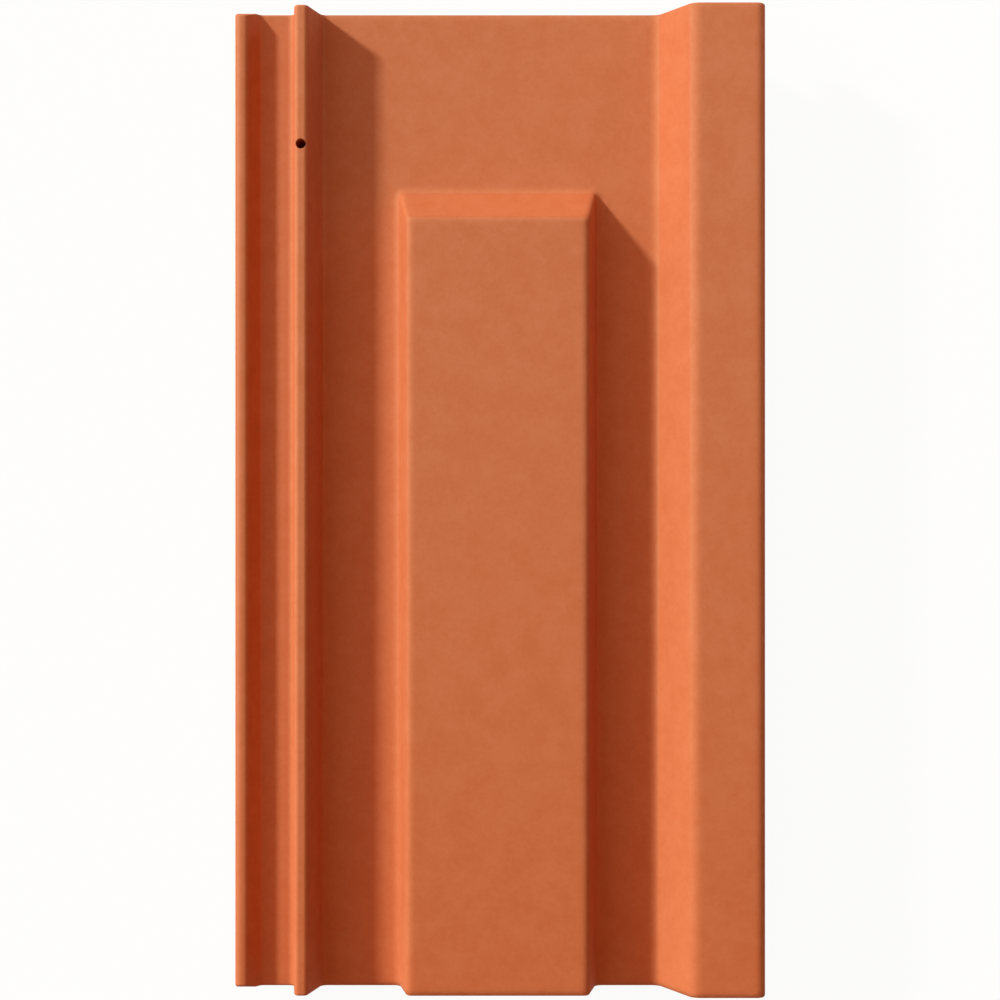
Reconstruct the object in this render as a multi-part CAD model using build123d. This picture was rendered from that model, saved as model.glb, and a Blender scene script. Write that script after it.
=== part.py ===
"""Interlocking clay roof tile, pressed and fired as one piece.

The tile lies level on its two batten lugs and its weather bars, as it would on a floor.
X runs across the tile, from the under-lap at -X to the cover roll at +X.
Y runs up the roof slope, with the tail at -Y and the head at +Y.
Z is up, and the origin is the middle of the footprint, on the floor.
"""
import os

from build123d import *

# Whole tile
tile_length = 420.0
tile_width = 226.0
pan_thickness = 12.0
end_edge_radius = 1.0

# Under-lap at the left side: water lip and water channel
lip_crown_width = 5.2
lip_height = 7.0
lip_wall_run = 5.4
lip_crown_radius = 3.0
lip_end_lean = 1.9
lip_end_foot_height = 1.5
lip_end_edge_radius = 0.8
channel_width = 14.1
channel_corner_radius = 2.5
underlap_thickness = 10.0
underlap_edge_radius = 2.0

# Nailing ridge, and the groove under it that drops over the ridge of the tile below
ridge_height = 16.4
ridge_crest_width = 5.5
ridge_channel_wall_run = 2.0
ridge_pan_wall_run = 5.0
ridge_crest_radius = 2.2
ridge_foot_radius = 2.8
groove_depth = 9.0
groove_top_width = 7.6
groove_wall_run = 3.2
groove_top_radius = 2.0
groove_mouth_radius = 1.5

# Nail hole through the ridge
nail_hole_diameter = 4.2
nail_hole_from_head = 59.0

# Cover roll at the right side, and its hanging edge
roll_height = 20.0
roll_top_width = 31.1
roll_slope_run = 12.9
roll_foot_radius = 4.5
roll_shoulder_radius = 6.0
roll_edge_radius = 3.5
roll_roof_thickness = 11.0
roll_wall_width = 12.4
roll_underside_radius = 4.0
roll_hollow_radius = 3.0
hanging_edge_clearance = 1.0
hanging_edge_width = 9.0
hanging_edge_draft_run = 3.0
hanging_edge_radius = 2.0

# Pan to the left and right of the centre rib, which takes up the width between them
left_pan_width = 33.1
right_pan_width = 26.6

# Centre rib with its sloping head end
rib_wall_run = 3.9
rib_height = 16.5
rib_from_head = 76.5
rib_head_run = 14.0
rib_side_radius = 2.6
rib_head_radius = 1.2
rib_foot_radius = 3.4

# Hollow pressed in under the rib
rib_roof_thickness = 12.0
hollow_side_inset = 7.5
hollow_head_inset = 6.0
hollow_from_tail = 46.0
hollow_draft_run = 4.5
hollow_radius = 4.0
hollow_mouth_radius = 1.5

# Batten lugs under the head
lug_depth = 8.0
lug_width = 28.0
lug_length = 14.0
lug_side_inset = 14.0
lug_face_from_head = 34.0
lug_draft_run = 2.0
lug_edge_radius = 1.5

# Weather bars under the tail
bar_count = 2
bar_width = 9.0
bar_pitch = 22.0
bar_from_tail = 14.0
bar_ridge_clearance = 3.0
bar_roll_clearance = 4.0
bar_draft_run = 1.5
bar_edge_radius = 1.5

# Overrun of cutting shapes and of boxes that pick out edges
overrun = 5.0

# Levels
pan_bottom = lug_depth
pan_top = pan_bottom + pan_thickness

# Lines across the tile, from left to right
left_edge = -tile_width / 2
right_edge = tile_width / 2
channel_left = left_edge + lip_crown_width + lip_wall_run
ridge_left = channel_left + channel_width
crest_left = ridge_left + ridge_channel_wall_run
crest_right = crest_left + ridge_crest_width
ridge_right = crest_right + ridge_pan_wall_run
ridge_centre = (crest_left + crest_right) / 2
roll_shoulder = right_edge - roll_top_width
roll_foot = roll_shoulder - roll_slope_run
rib_left = ridge_right + left_pan_width
rib_right = roll_foot - right_pan_width

# Lines along the tile
tail = -tile_length / 2
head = tile_length / 2
rib_head = head - rib_from_head


def under_lap_corners():
    """The top of the under-lap, from the outer edge of the lip to the pan, as x, z and radius."""
    crown = pan_top + lip_height
    crest = pan_top + ridge_height
    return [
        (left_edge, crown, lip_crown_radius),
        (left_edge + lip_crown_width, crown, lip_crown_radius),
        (channel_left, pan_top, channel_corner_radius),
        (ridge_left, pan_top, ridge_foot_radius),
        (crest_left, crest, ridge_crest_radius),
        (crest_right, crest, ridge_crest_radius),
        (ridge_right, pan_top, ridge_foot_radius),
    ]


def roll_corners():
    """The cover roll, over its top and back along its underside to the pan, as x, z and radius."""
    top = pan_top + roll_height
    ceiling = top - roll_roof_thickness
    edge_bottom = pan_top + hanging_edge_clearance
    edge_inside = right_edge - hanging_edge_width
    slope = roll_slope_run / roll_height
    wall_inside = roll_foot + roll_wall_width
    return [
        (roll_foot, pan_top, roll_foot_radius),
        (roll_shoulder, top, roll_shoulder_radius),
        (right_edge, top, roll_edge_radius),
        (right_edge, edge_bottom, hanging_edge_radius),
        (edge_inside, edge_bottom, hanging_edge_radius),
        (edge_inside - hanging_edge_draft_run, ceiling, roll_hollow_radius),
        (wall_inside + slope * (ceiling - pan_top), ceiling, roll_hollow_radius),
        (wall_inside - slope * pan_thickness, pan_bottom, roll_underside_radius),
    ]


def underside_corners():
    """The underside from the groove under the ridge to the outer edge, as x, z and radius."""
    groove_top = pan_bottom + groove_depth
    half_top = groove_top_width / 2
    half_mouth = half_top + groove_wall_run
    underlap_bottom = pan_top - underlap_thickness
    return [
        (ridge_centre + half_mouth, pan_bottom, groove_mouth_radius),
        (ridge_centre + half_top, groove_top, groove_top_radius),
        (ridge_centre - half_top, groove_top, groove_top_radius),
        (ridge_centre - half_mouth, underlap_bottom, groove_mouth_radius),
        (left_edge, underlap_bottom, underlap_edge_radius),
    ]


def pressed_section():
    """The section across the tile, drawn out from tail to head."""
    corners = under_lap_corners() + roll_corners() + underside_corners()
    points = [(x, z) for x, z, radius in corners]
    radii = [radius for x, z, radius in corners]
    section = Plane.XZ * make_face(FilletPolyline(*points, radius=radii, close=True))
    return extrude(section, amount=tile_length / 2, both=True)


def trapezium(plane, low, low_sides, high, high_sides):
    """An upright face with a level bottom and top, each from one side to the other."""
    bottom = [(side, low) for side in low_sides]
    top = [(side, high) for side in reversed(high_sides)]
    return plane * make_face(Polyline(*bottom, *top, close=True))


def drafted_block(low, low_lines, high, high_lines):
    """A block with flat sloping walls between two level rectangles.

    Each rectangle has a height, and its left, right, tail side and head side lines.
    """
    front = trapezium(Plane.XZ, low, low_lines[:2], high, high_lines[:2])
    side = trapezium(Plane.YZ, low, low_lines[2:], high, high_lines[2:])
    return extrude(front, amount=tile_length, both=True) & extrude(side, amount=tile_length, both=True)


def edges_at(shape, axis, place):
    """Edges of a shape that lie in one plane across an axis."""
    return shape.edges().filter_by_position(axis, place, place)


def centre_rib():
    """The raised rib, rounded along its crown and round its sloping head end."""
    crown = pan_top + rib_height
    foot_lines = (rib_left, rib_right, tail, rib_head)
    crown_lines = (rib_left + rib_wall_run, rib_right - rib_wall_run, tail, rib_head - rib_head_run)
    rib = drafted_block(pan_top, foot_lines, crown, crown_lines)
    rib = fillet(edges_at(rib, Axis.Z, crown).filter_by(Axis.Y), rib_side_radius)
    head_face = rib.faces().filter_by(GeomType.PLANE).sort_by(Axis.Y)[-1]
    return fillet(head_face.edges().sort_by(Axis.Z)[1:], rib_head_radius)


def add_rib(tile):
    """Join the rib to the pan, with a rounded inner corner that runs from the head line down both sides."""
    tile = tile + centre_rib()
    foot_line = edges_at(tile, Axis.Z, pan_top).filter_by_position(Axis.Y, rib_head, rib_head)
    return fillet(foot_line, rib_foot_radius)


def round_ends(tile):
    """Take the sharp edge off the head end and the tail end."""
    for end in (head, tail):
        tile = fillet(edges_at(tile, Axis.Y, end), end_edge_radius)
    return tile


def rib_hollow():
    """The hollow under the rib, which narrows upwards so that the tile leaves its mould."""
    roof = pan_top + rib_height - rib_roof_thickness
    left = rib_left + hollow_side_inset
    right = rib_right - hollow_side_inset
    near = tail + hollow_from_tail
    far = rib_head - hollow_head_inset
    draft = hollow_draft_run
    roof_lines = (left + draft, right - draft, near + draft, far - rib_head_run)
    hollow = drafted_block(pan_bottom, (left, right, near, far), roof, roof_lines)
    mouth_edges = edges_at(hollow, Axis.Z, pan_bottom)
    roof_edges = edges_at(hollow, Axis.Z, roof)
    hollow = fillet(hollow.edges() - mouth_edges - roof_edges, hollow_radius)
    return fillet(edges_at(hollow, Axis.Z, roof), hollow_radius)


def press_hollow(tile):
    """Cut the hollow under the rib and round its mouth."""
    tile = tile - rib_hollow()
    mouth = edges_at(tile, Axis.Z, pan_bottom)
    mouth = mouth.filter_by_position(Axis.X, rib_left, rib_right)
    mouth = mouth.filter_by_position(Axis.Y, tail + overrun, head - overrun)
    return fillet(mouth, hollow_mouth_radius)


def batten_lug(left):
    """One lug, with an upright face on its tail side that bears on the batten."""
    right = left + lug_width
    bearing = head - lug_face_from_head
    back = bearing + lug_length
    draft = lug_draft_run
    low_lines = (left + draft, right - draft, bearing, back - draft)
    lug = drafted_block(0, low_lines, pan_bottom, (left, right, bearing, back))
    return fillet(edges_at(lug, Axis.Z, 0), lug_edge_radius)


def weather_bar(centre):
    """One bar across the underside, which lies on the pan of the tile below."""
    left = ridge_right + bar_ridge_clearance
    right = roll_foot - bar_roll_clearance
    near = centre - bar_width / 2
    far = centre + bar_width / 2
    draft = bar_draft_run
    low_lines = (left + draft, right - draft, near + draft, far - draft)
    bar = drafted_block(0, low_lines, pan_bottom, (left, right, near, far))
    return fillet(edges_at(bar, Axis.Z, 0), bar_edge_radius)


def add_supports(tile):
    """Add the two lugs under the head and the bars under the tail."""
    tile = tile + batten_lug(ridge_right + lug_side_inset)
    tile = tile + batten_lug(roll_foot - lug_side_inset - lug_width)
    for index in range(bar_count):
        tile = tile + weather_bar(tail + bar_from_tail + index * bar_pitch)
    return tile


def nail_hole():
    """The hole down through the nailing ridge into the groove under it."""
    top = pan_top + ridge_height + overrun
    place = Pos(ridge_centre, head - nail_hole_from_head, (pan_bottom + top) / 2)
    return place * Cylinder(nail_hole_diameter / 2, top - pan_bottom)


def lip_end_cut(direction):
    """What comes off one end of the lip, so that its end face leans back: direction is 1 at the head."""
    foot = pan_top + lip_end_foot_height
    crown = pan_top + lip_height
    top = crown + overrun
    lean = lip_end_lean * (top - foot) / (crown - foot)
    end = direction * head
    outside = end + direction * overrun
    corners = [(end, foot), (end - direction * lean, top), (outside, top), (outside, foot)]
    start = left_edge - overrun
    wedge = Plane.YZ.offset(start) * make_face(Polyline(*corners, close=True))
    return extrude(wedge, amount=channel_left - start, dir=(1, 0, 0))


def lean_lip_ends(tile):
    """Cut both ends of the lip to their lean and take the sharp edge off the leaning faces."""
    for direction in (-1, 1):
        tile = tile - lip_end_cut(direction)
    faces = tile.faces().filter_by(GeomType.PLANE).filter_by_position(Axis.X, left_edge, channel_left)
    faces = faces.filter_by_position(Axis.Z, pan_top + lip_end_foot_height, pan_top + lip_height)
    faces = faces.sort_by(Axis.Y)
    edges = ShapeList()
    for leaning in (faces[0], faces[-1]):
        edges += leaning.edges().sort_by(Axis.Z)[1:]
    return fillet(edges, lip_end_edge_radius)


def roof_tile():
    """The whole tile as one solid."""
    tile = press_hollow(round_ends(add_rib(pressed_section())))
    return lean_lip_ends(add_supports(tile) - nail_hole())


os.makedirs("parts", exist_ok=True)
export_step(roof_tile(), "parts/roof_tile.step")
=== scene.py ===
# Clay roof tile: its fired finish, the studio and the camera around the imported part, in metres

import math

import bpy
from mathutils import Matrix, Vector


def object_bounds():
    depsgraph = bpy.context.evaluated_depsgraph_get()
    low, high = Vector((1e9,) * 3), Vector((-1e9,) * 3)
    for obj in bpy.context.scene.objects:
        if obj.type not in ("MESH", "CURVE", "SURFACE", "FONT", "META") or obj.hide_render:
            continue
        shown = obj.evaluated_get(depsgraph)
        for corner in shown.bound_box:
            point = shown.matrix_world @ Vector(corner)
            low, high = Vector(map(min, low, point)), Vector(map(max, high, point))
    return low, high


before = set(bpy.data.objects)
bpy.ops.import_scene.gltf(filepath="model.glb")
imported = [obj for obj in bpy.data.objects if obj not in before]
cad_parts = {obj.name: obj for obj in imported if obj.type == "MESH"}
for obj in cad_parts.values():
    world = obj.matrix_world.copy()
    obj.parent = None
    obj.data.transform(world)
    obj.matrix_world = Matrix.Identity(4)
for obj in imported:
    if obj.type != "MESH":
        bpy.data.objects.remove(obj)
cad_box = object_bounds()
TILE_LOW, TILE_HIGH = cad_box
bpy.ops.object.select_all(action="DESELECT")
scene = bpy.context.scene


# Helpers for node trees

def new_node(tree, kind, place, **settings):
    """Add a node of one kind at a place in the tree and set its own options."""
    node = tree.nodes.new(kind)
    node.location = place
    for name, value in settings.items():
        setattr(node, name, value)
    return node


def set_inputs(node, **values):
    """Set input sockets by name; an underscore in a name stands for a space."""
    for name, value in values.items():
        node.inputs[name.replace("_", " ")].default_value = value


def mix_colours(tree, place, blend, amount, first, second):
    """Blend two colours; an amount or colour is a value, or an output socket to read it from."""
    node = new_node(tree, "ShaderNodeMix", place, data_type="RGBA", blend_type=blend)
    shown_sockets = {"Factor": amount, "A": first, "B": second}
    for socket in node.inputs:
        if not socket.enabled:
            continue
        value = shown_sockets[socket.name]
        if isinstance(value, bpy.types.NodeSocket):
            tree.links.new(value, socket)
        else:
            socket.default_value = value
    return next(socket for socket in node.outputs if socket.enabled)


def ramp_along(tree, where, place, axis, span, values=(0.0, 1.0)):
    """A value that changes evenly along one axis between two places, and stays the same beyond them."""
    across, up = place
    position = new_node(tree, "ShaderNodeSeparateXYZ", (across, up))
    tree.links.new(where, position.inputs["Vector"])
    ramp = new_node(tree, "ShaderNodeMapRange", (across + 200, up))
    set_inputs(ramp, From_Min=span[0], From_Max=span[1])
    set_inputs(ramp, To_Min=values[0], To_Max=values[1])
    tree.links.new(position.outputs[axis], ramp.inputs["Value"])
    return ramp.outputs["Result"]


def empty_material(name):
    """Make a node material with nothing in its tree but the output."""
    material = bpy.data.materials.new(name)
    material.use_nodes = True
    tree = material.node_tree
    tree.nodes.clear()
    output = new_node(tree, "ShaderNodeOutputMaterial", (1200, 0))
    return material, tree, output


# Fired clay

RED_CLAY = (0.585, 0.151, 0.0545, 1.0)
# The pale tone below is painted sheen, given to the level faces and their rounded edges towards the
# head
PAINTED_SHEEN_TONE = (0.603, 0.191, 0.083, 1.0)
SPECK_CLAY = (0.330, 0.085, 0.035, 1.0)
MOTTLE_RED = (0.975, 0.925, 0.865, 1.0)
MOTTLE_PALE = (1.025, 1.075, 1.135, 1.0)
GRAIN_DARK = (0.98, 0.98, 0.98, 1.0)
GRAIN_LIGHT = (1.02, 1.02, 1.02, 1.0)
MOTTLE_NOISE = {"per_metre": 90.0, "detail": 5.0, "crispness": 0.85, "low": 0.38, "high": 0.62}
GRAIN_NOISE = {"per_metre": 1500.0, "detail": 2.0, "crispness": 0.5, "low": 0.25, "high": 0.75}
SPECKS_PER_METRE = 190.0
SPECK_CORE = 0.035
SPECK_RIM = 0.07
SPECK_STRENGTH = 0.35
GRAIN_HEIGHT = 0.000015
SKIN_HEIGHT = 0.00002
CRISP_EDGE_RADIUS = 0.0008
SOFT_EDGE_RADIUS = 0.0042
CRISP_TO_SOFT_SPAN = (-0.078, -0.072)
SOFT_EDGE_SAMPLES = 4
SMOOTH_ROUGHNESS = 0.70
COARSE_ROUGHNESS = 0.84
CLAY_SPECULAR = 0.35
# Painted shade: the water channel and the lip, left of the ridge, are darkened a little to tone down
# the light bounced there
CHANNEL_PAINTED_SHADE = (0.93, 0.93, 0.93, 1.0)
CHANNEL_SHADE_SPAN = (-0.0885, -0.0905)
# Painted sheen: how it fades from head to tail, and the surface slants over which it comes in
SHEEN_FADE_POWER = 2.0
SHEEN_STEEP = 0.62
SHEEN_LEVEL = 0.80


def clay_noise(tree, where, place, per_metre, detail, crispness, low, high):
    """Soft noise in the tile's own coordinates, stretched so that low to high fills 0 to 1."""
    noise = new_node(tree, "ShaderNodeTexNoise", place)
    set_inputs(noise, Scale=per_metre, Detail=detail, Roughness=crispness)
    tree.links.new(where, noise.inputs["Vector"])
    spread = new_node(tree, "ShaderNodeMapRange", (place[0] + 200, place[1]))
    set_inputs(spread, From_Min=low, From_Max=high)
    tree.links.new(noise.outputs["Fac"], spread.inputs["Value"])
    return spread.outputs["Result"]


def clay_specks(tree, where, place):
    """Small round specks, one to a cell of about five millimetres; their sizes are shares of a cell."""
    cells = new_node(tree, "ShaderNodeTexVoronoi", place)
    set_inputs(cells, Scale=SPECKS_PER_METRE)
    tree.links.new(where, cells.inputs["Vector"])
    spot = new_node(tree, "ShaderNodeMapRange", (place[0] + 200, place[1]))
    set_inputs(spot, From_Min=SPECK_CORE, From_Max=SPECK_RIM)
    set_inputs(spot, To_Min=SPECK_STRENGTH, To_Max=0.0)
    tree.links.new(cells.outputs["Distance"], spot.inputs["Value"])
    return spot.outputs["Result"]


def painted_flat_sheen(tree, coordinates, place):
    """Painted sheen: a paler tone on the level faces and the upper part of their rounded edges,
    strongest at the head and gone at the tail.
    """
    across, up = place
    head_to_tail = (TILE_HIGH[1], TILE_LOW[1])
    run = ramp_along(tree, coordinates.outputs["Object"], (across, up), "Y", head_to_tail)
    fade = new_node(tree, "ShaderNodeMath", (across + 400, up), operation="POWER")
    tree.links.new(run, fade.inputs[0])
    fade.inputs[1].default_value = SHEEN_FADE_POWER
    left = new_node(tree, "ShaderNodeMath", (across + 600, up), operation="SUBTRACT")
    left.inputs[0].default_value = 1.0
    tree.links.new(fade.outputs["Value"], left.inputs[1])

    facing = new_node(tree, "ShaderNodeSeparateXYZ", (across + 200, up - 250))
    tree.links.new(coordinates.outputs["Normal"], facing.inputs["Vector"])
    level = new_node(tree, "ShaderNodeMapRange", (across + 400, up - 250))
    level.interpolation_type = "SMOOTHSTEP"
    set_inputs(level, From_Min=SHEEN_STEEP, From_Max=SHEEN_LEVEL)
    tree.links.new(facing.outputs["Z"], level.inputs["Value"])
    painted_sheen = new_node(tree, "ShaderNodeMath", (across + 800, up), operation="MULTIPLY")
    tree.links.new(left.outputs["Value"], painted_sheen.inputs[0])
    tree.links.new(level.outputs["Result"], painted_sheen.inputs[1])
    return painted_sheen.outputs["Value"]


def soft_edges(tree, where, place):
    """The surface direction with the pressed edges softened, though hardly on the ridge and the lip."""
    radii = (CRISP_EDGE_RADIUS, SOFT_EDGE_RADIUS)
    radius = ramp_along(tree, where, place, "X", CRISP_TO_SOFT_SPAN, radii)
    softened = new_node(tree, "ShaderNodeBevel", (place[0] + 400, place[1]), samples=SOFT_EDGE_SAMPLES)
    tree.links.new(radius, softened.inputs["Radius"])
    return softened.outputs["Normal"]


def clay_bump(tree, place, height, distance, under):
    """Raise the surface by a height mask over a real distance, on top of another direction."""
    bump = new_node(tree, "ShaderNodeBump", place)
    set_inputs(bump, Strength=1.0, Distance=distance)
    tree.links.new(height, bump.inputs["Height"])
    tree.links.new(under, bump.inputs["Normal"])
    return bump.outputs["Normal"]


def fired_clay_finish():
    """Matte unglazed clay: soft mottling, fine grain, a few dark specks, a slightly uneven skin,
    painted sheen on the level faces and painted shade over the channel.
    """
    material, tree, output = empty_material("fired_clay_finish")
    coordinates = new_node(tree, "ShaderNodeTexCoord", (-1400, 0))
    where = coordinates.outputs["Object"]
    mottle = clay_noise(tree, where, (-1100, 400), **MOTTLE_NOISE)
    # painted sheen on the level faces and their rounded edges, strongest at the head
    painted_sheen = painted_flat_sheen(tree, coordinates, (-1100, 900))
    grain = clay_noise(tree, where, (-1100, -200), **GRAIN_NOISE)
    specks = clay_specks(tree, where, (-1100, -500))
    # mask for the painted shade over the channel and lip, left of the ridge foot
    channel_shade_mask = ramp_along(tree, where, (-1100, 1300), "X", CHANNEL_SHADE_SPAN)

    # the clay tone with the painted sheen blended in
    body = mix_colours(tree, (-600, 400), "MIX", painted_sheen, RED_CLAY, PAINTED_SHEEN_TONE)
    mottle_tone = mix_colours(tree, (-600, 150), "MIX", mottle, MOTTLE_RED, MOTTLE_PALE)
    grain_tone = mix_colours(tree, (-600, -100), "MIX", grain, GRAIN_DARK, GRAIN_LIGHT)
    mottled = mix_colours(tree, (-350, 300), "MULTIPLY", 1.0, body, mottle_tone)
    grained = mix_colours(tree, (-100, 250), "MULTIPLY", 1.0, mottled, grain_tone)
    # painted shade: the channel and lip darkened
    channel_shaded = mix_colours(tree, (50, 350), "MULTIPLY", channel_shade_mask, grained, CHANNEL_PAINTED_SHADE)
    coloured = mix_colours(tree, (250, 200), "MIX", specks, channel_shaded, SPECK_CLAY)

    dullness = new_node(tree, "ShaderNodeMapRange", (150, -50))
    set_inputs(dullness, To_Min=SMOOTH_ROUGHNESS, To_Max=COARSE_ROUGHNESS)
    tree.links.new(grain, dullness.inputs["Value"])
    softened = soft_edges(tree, where, (-600, -450))
    skin = clay_bump(tree, (150, -350), mottle, SKIN_HEIGHT, softened)
    relief = clay_bump(tree, (400, -350), grain, GRAIN_HEIGHT, skin)

    clay = new_node(tree, "ShaderNodeBsdfPrincipled", (800, 0))
    set_inputs(clay, Specular_IOR_Level=CLAY_SPECULAR)
    tree.links.new(coloured, clay.inputs["Base Color"])
    tree.links.new(dullness.outputs["Result"], clay.inputs["Roughness"])
    tree.links.new(relief, clay.inputs["Normal"])
    tree.links.new(clay.outputs["BSDF"], output.inputs["Surface"])
    return material


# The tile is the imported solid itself, with the fired finish in its material slot
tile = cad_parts["roof_tile"]
clay_finish = fired_clay_finish()
for tile_slot in tile.material_slots:
    tile_slot.material = clay_finish


# Studio floor and surround

FLOOR_SIZE = 8.0
FLOOR_DARK = (0.84, 0.84, 0.84, 1.0)
FLOOR_LIGHT = (0.88, 0.88, 0.88, 1.0)
FLOOR_WHITE_SHARE = 0.95
FLOOR_GRAIN_PER_METRE = 400.0
FLOOR_GRAIN_DETAIL = 2.0
CONTACT_SHADE = 0.012
WHITE = (1.0, 1.0, 1.0, 1.0)
ROOM_COLOUR = (0.05, 0.05, 0.05, 1.0)
ROOM_STRENGTH = 1.0
CEILING_COLOUR = (0.50, 0.19, 0.02, 1.0)
CEILING_STRENGTH = 1.0
CEILING_GATHER = 2.0
UPWARDS = (0.0, 0.0, 1.0)
WINDOW_SIDE = (-0.855, 0.518, 0.0)
WINDOW_COLOUR = (1.0, 1.0, 1.0, 1.0)
WINDOW_STRENGTH = 0.89
WINDOW_GATHER = 1.0
BACKDROP_TOP = 0.25
BACKDROP_FADE = 0.10


def background_rays(tree, place):
    """1 for rays that show the background: from the camera, or by way of gloss or glass."""
    path = new_node(tree, "ShaderNodeLightPath", place)
    first = new_node(tree, "ShaderNodeMath", (place[0] + 200, place[1]), operation="MAXIMUM")
    tree.links.new(path.outputs["Is Camera Ray"], first.inputs[0])
    tree.links.new(path.outputs["Is Glossy Ray"], first.inputs[1])
    second = new_node(tree, "ShaderNodeMath", (place[0] + 400, place[1]), operation="MAXIMUM")
    tree.links.new(first.outputs["Value"], second.inputs[0])
    tree.links.new(path.outputs["Is Transmission Ray"], second.inputs[1])
    return second.outputs["Value"]


def clear_of_tile(tree, where, place):
    """0 on the floor under the tile, rising to 1 at its outline."""
    across, up = place
    position = new_node(tree, "ShaderNodeSeparateXYZ", (across, up))
    tree.links.new(where, position.inputs["Vector"])
    sides = []
    for axis, reach, row in (("X", TILE_HIGH[0], up), ("Y", TILE_HIGH[1], up - 200)):
        distance = new_node(tree, "ShaderNodeMath", (across + 200, row), operation="ABSOLUTE")
        tree.links.new(position.outputs[axis], distance.inputs[0])
        beyond = new_node(tree, "ShaderNodeMapRange", (across + 400, row))
        set_inputs(beyond, From_Min=reach - CONTACT_SHADE, From_Max=reach)
        tree.links.new(distance.outputs["Value"], beyond.inputs["Value"])
        sides.append(beyond.outputs["Result"])
    clear = new_node(tree, "ShaderNodeMath", (across + 600, up), operation="MAXIMUM")
    tree.links.new(sides[0], clear.inputs[0])
    tree.links.new(sides[1], clear.inputs[1])
    return clear.outputs["Value"]


def studio_floor_finish():
    """Pale floor that reads as white ground in the picture and still takes the tile's shadow."""
    material, tree, output = empty_material("studio_floor_finish")
    coordinates = new_node(tree, "ShaderNodeTexCoord", (-1000, -200))
    paper = new_node(tree, "ShaderNodeTexNoise", (-400, -200))
    set_inputs(paper, Scale=FLOOR_GRAIN_PER_METRE, Detail=FLOOR_GRAIN_DETAIL)
    tree.links.new(coordinates.outputs["Object"], paper.inputs["Vector"])
    tone = mix_colours(tree, (-100, -200), "MIX", paper.outputs["Fac"], FLOOR_DARK, FLOOR_LIGHT)
    ground = new_node(tree, "ShaderNodeBsdfDiffuse", (200, -200))
    tree.links.new(tone, ground.inputs["Color"])
    glow = new_node(tree, "ShaderNodeEmission", (200, 0))
    set_inputs(glow, Color=WHITE, Strength=1.0)
    clear = new_node(tree, "ShaderNodeMath", (200, 200), operation="MULTIPLY")
    tree.links.new(clear_of_tile(tree, coordinates.outputs["Object"], (-600, 600)), clear.inputs[0])
    clear.inputs[1].default_value = FLOOR_WHITE_SHARE
    share = new_node(tree, "ShaderNodeMath", (400, 200), operation="MULTIPLY")
    tree.links.new(background_rays(tree, (-400, 300)), share.inputs[0])
    tree.links.new(clear.outputs["Value"], share.inputs[1])
    both = new_node(tree, "ShaderNodeMixShader", (700, 0))
    tree.links.new(share.outputs["Value"], both.inputs["Fac"])
    tree.links.new(ground.outputs["BSDF"], both.inputs[1])
    tree.links.new(glow.outputs["Emission"], both.inputs[2])
    tree.links.new(both.outputs["Shader"], output.inputs["Surface"])
    return material


def wide_light(tree, direction, place, towards, gather, colour, strength):
    """Soft light that is brightest towards one side of the room and fades out square to it."""
    across, up = place
    along = new_node(tree, "ShaderNodeVectorMath", (across, up), operation="DOT_PRODUCT")
    tree.links.new(direction, along.inputs[0])
    along.inputs[1].default_value = towards
    facing = new_node(tree, "ShaderNodeMath", (across + 200, up), operation="MAXIMUM")
    tree.links.new(along.outputs["Value"], facing.inputs[0])
    facing.inputs[1].default_value = 0.0
    gathered = new_node(tree, "ShaderNodeMath", (across + 400, up), operation="POWER")
    tree.links.new(facing.outputs["Value"], gathered.inputs[0])
    gathered.inputs[1].default_value = gather
    level = new_node(tree, "ShaderNodeMath", (across + 600, up), operation="MULTIPLY")
    tree.links.new(gathered.outputs["Value"], level.inputs[0])
    level.inputs[1].default_value = strength
    light = new_node(tree, "ShaderNodeBackground", (across + 800, up))
    set_inputs(light, Color=colour)
    tree.links.new(level.outputs["Value"], light.inputs["Strength"])
    return light.outputs["Background"]


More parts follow.
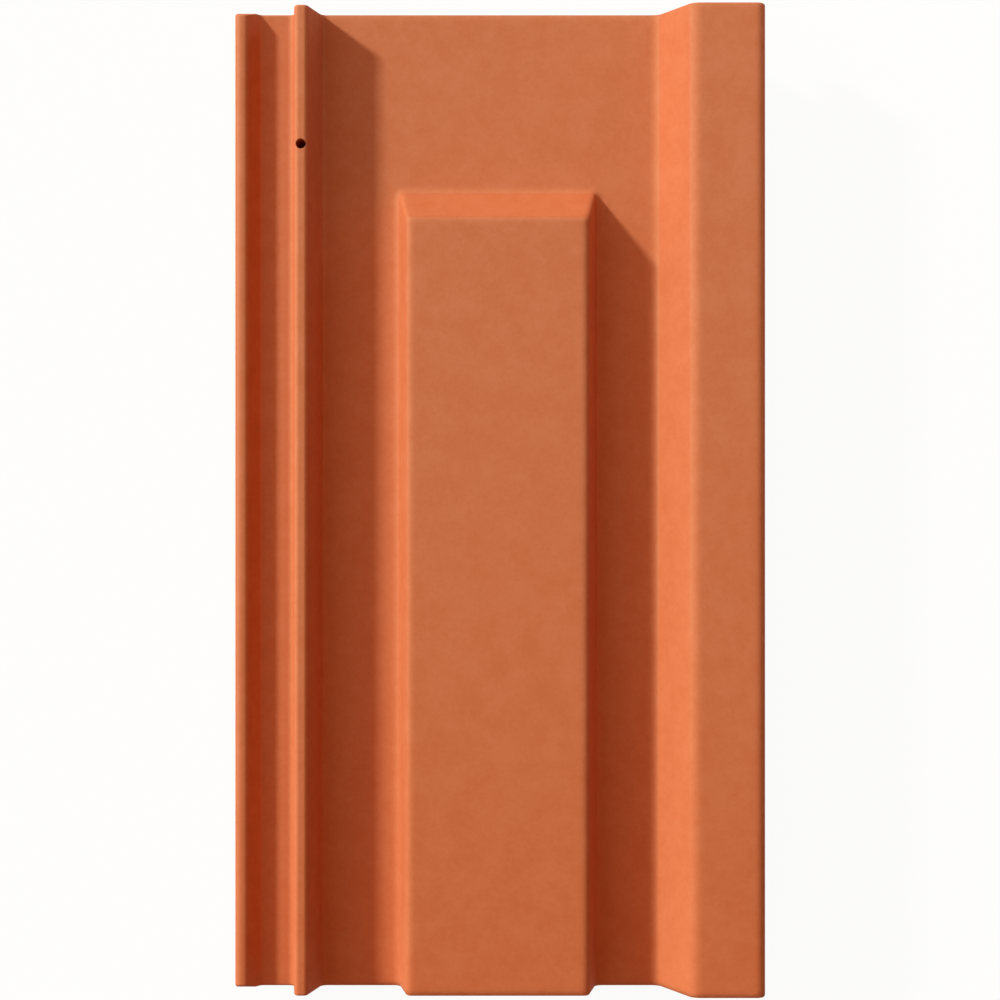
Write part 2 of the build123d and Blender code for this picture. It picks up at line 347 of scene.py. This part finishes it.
def studio_room():
    """White behind the tile, and soft light from all round, overhead and one side for the tile."""
    world = bpy.data.worlds.new("studio_room")
    world.use_nodes = True
    tree = world.node_tree
    tree.nodes.clear()
    output = new_node(tree, "ShaderNodeOutputWorld", (900, 0))
    direction = new_node(tree, "ShaderNodeTexCoord", (-900, -300))
    height = new_node(tree, "ShaderNodeSeparateXYZ", (-700, -300))
    tree.links.new(direction.outputs["Generated"], height.inputs["Vector"])

    room = new_node(tree, "ShaderNodeBackground", (100, -200))
    set_inputs(room, Color=ROOM_COLOUR, Strength=ROOM_STRENGTH)
    around = direction.outputs["Generated"]
    ceiling_light = (UPWARDS, CEILING_GATHER, CEILING_COLOUR, CEILING_STRENGTH)
    ceiling = wide_light(tree, around, (-700, -400), *ceiling_light)
    window_light = (WINDOW_SIDE, WINDOW_GATHER, WINDOW_COLOUR, WINDOW_STRENGTH)
    window = wide_light(tree, around, (-700, -600), *window_light)
    overhead = new_node(tree, "ShaderNodeAddShader", (350, -300))
    tree.links.new(room.outputs["Background"], overhead.inputs[0])
    tree.links.new(ceiling, overhead.inputs[1])
    soft = new_node(tree, "ShaderNodeAddShader", (500, -400))
    tree.links.new(overhead.outputs["Shader"], soft.inputs[0])
    tree.links.new(window, soft.inputs[1])

    white = new_node(tree, "ShaderNodeBackground", (350, -100))
    set_inputs(white, Color=WHITE, Strength=1.0)
    backdrop = new_node(tree, "ShaderNodeMapRange", (-300, -150))
    set_inputs(backdrop, From_Min=BACKDROP_TOP - BACKDROP_FADE, From_Max=BACKDROP_TOP)
    set_inputs(backdrop, To_Min=1.0, To_Max=0.0)
    tree.links.new(height.outputs["Z"], backdrop.inputs["Value"])
    path = new_node(tree, "ShaderNodeLightPath", (-700, 300))
    mirrored = new_node(tree, "ShaderNodeMath", (-500, 200), operation="MAXIMUM")
    tree.links.new(path.outputs["Is Glossy Ray"], mirrored.inputs[0])
    tree.links.new(path.outputs["Is Transmission Ray"], mirrored.inputs[1])
    reflected = new_node(tree, "ShaderNodeMath", (-100, 100), operation="MULTIPLY")
    tree.links.new(mirrored.outputs["Value"], reflected.inputs[0])
    tree.links.new(backdrop.outputs["Result"], reflected.inputs[1])
    shown = new_node(tree, "ShaderNodeMath", (150, 200), operation="MAXIMUM")
    tree.links.new(path.outputs["Is Camera Ray"], shown.inputs[0])
    tree.links.new(reflected.outputs["Value"], shown.inputs[1])
    both = new_node(tree, "ShaderNodeMixShader", (650, 0))
    tree.links.new(shown.outputs["Value"], both.inputs["Fac"])
    tree.links.new(soft.outputs["Shader"], both.inputs[1])
    tree.links.new(white.outputs["Background"], both.inputs[2])
    tree.links.new(both.outputs["Shader"], output.inputs["Surface"])
    scene.world = world


bpy.ops.mesh.primitive_plane_add(size=FLOOR_SIZE, location=(0.0, 0.0, 0.0))
floor = bpy.context.object
floor.name = "studio_floor"
floor.data.materials.append(studio_floor_finish())
studio_room()


# Lamps

KEY_PLACE = (-1.886, 1.143, 1.0)
KEY_COLOUR = (0.93, 1.0, 0.88)
KEY_STRENGTH = 3.44
KEY_SPREAD = math.radians(5.3)
FILL_PLACE = (0.42, 0.48, 0.17)
FILL_AIM = (0.0, 0.12, 0.02)
FILL_SIZE = 0.12
FILL_COLOUR = (1.0, 1.0, 1.0)
FILL_POWER = 0.3


def face_along(lamp, direction):
    """Turn a lamp so that its light travels along a direction."""
    lamp.rotation_euler = Vector(direction).to_track_quat("-Z", "Y").to_euler()


bpy.ops.object.light_add(type="SUN", location=KEY_PLACE)
key_lamp = bpy.context.object
key_lamp.name = "key_lamp"
key_lamp.data.energy = KEY_STRENGTH
key_lamp.data.color = KEY_COLOUR
key_lamp.data.angle = KEY_SPREAD
face_along(key_lamp, -Vector(KEY_PLACE))

bpy.ops.object.light_add(type="AREA", location=FILL_PLACE)
fill_lamp = bpy.context.object
fill_lamp.name = "fill_lamp"
fill_lamp.data.energy = FILL_POWER
fill_lamp.data.color = FILL_COLOUR
fill_lamp.data.size = FILL_SIZE
fill_lamp.visible_camera = False
face_along(fill_lamp, Vector(FILL_AIM) - Vector(FILL_PLACE))


# Camera, straight above the tile as in the photograph

CAMERA_PLACE = (0.00084, 0.0001, 0.792)
CAMERA_ANGLE = math.radians(31.3)

bpy.ops.object.camera_add(location=CAMERA_PLACE, rotation=(0.0, 0.0, 0.0))
camera = bpy.context.object
camera.name = "camera"
camera.data.angle = CAMERA_ANGLE
scene.camera = camera

scene.view_settings.view_transform = "Standard"
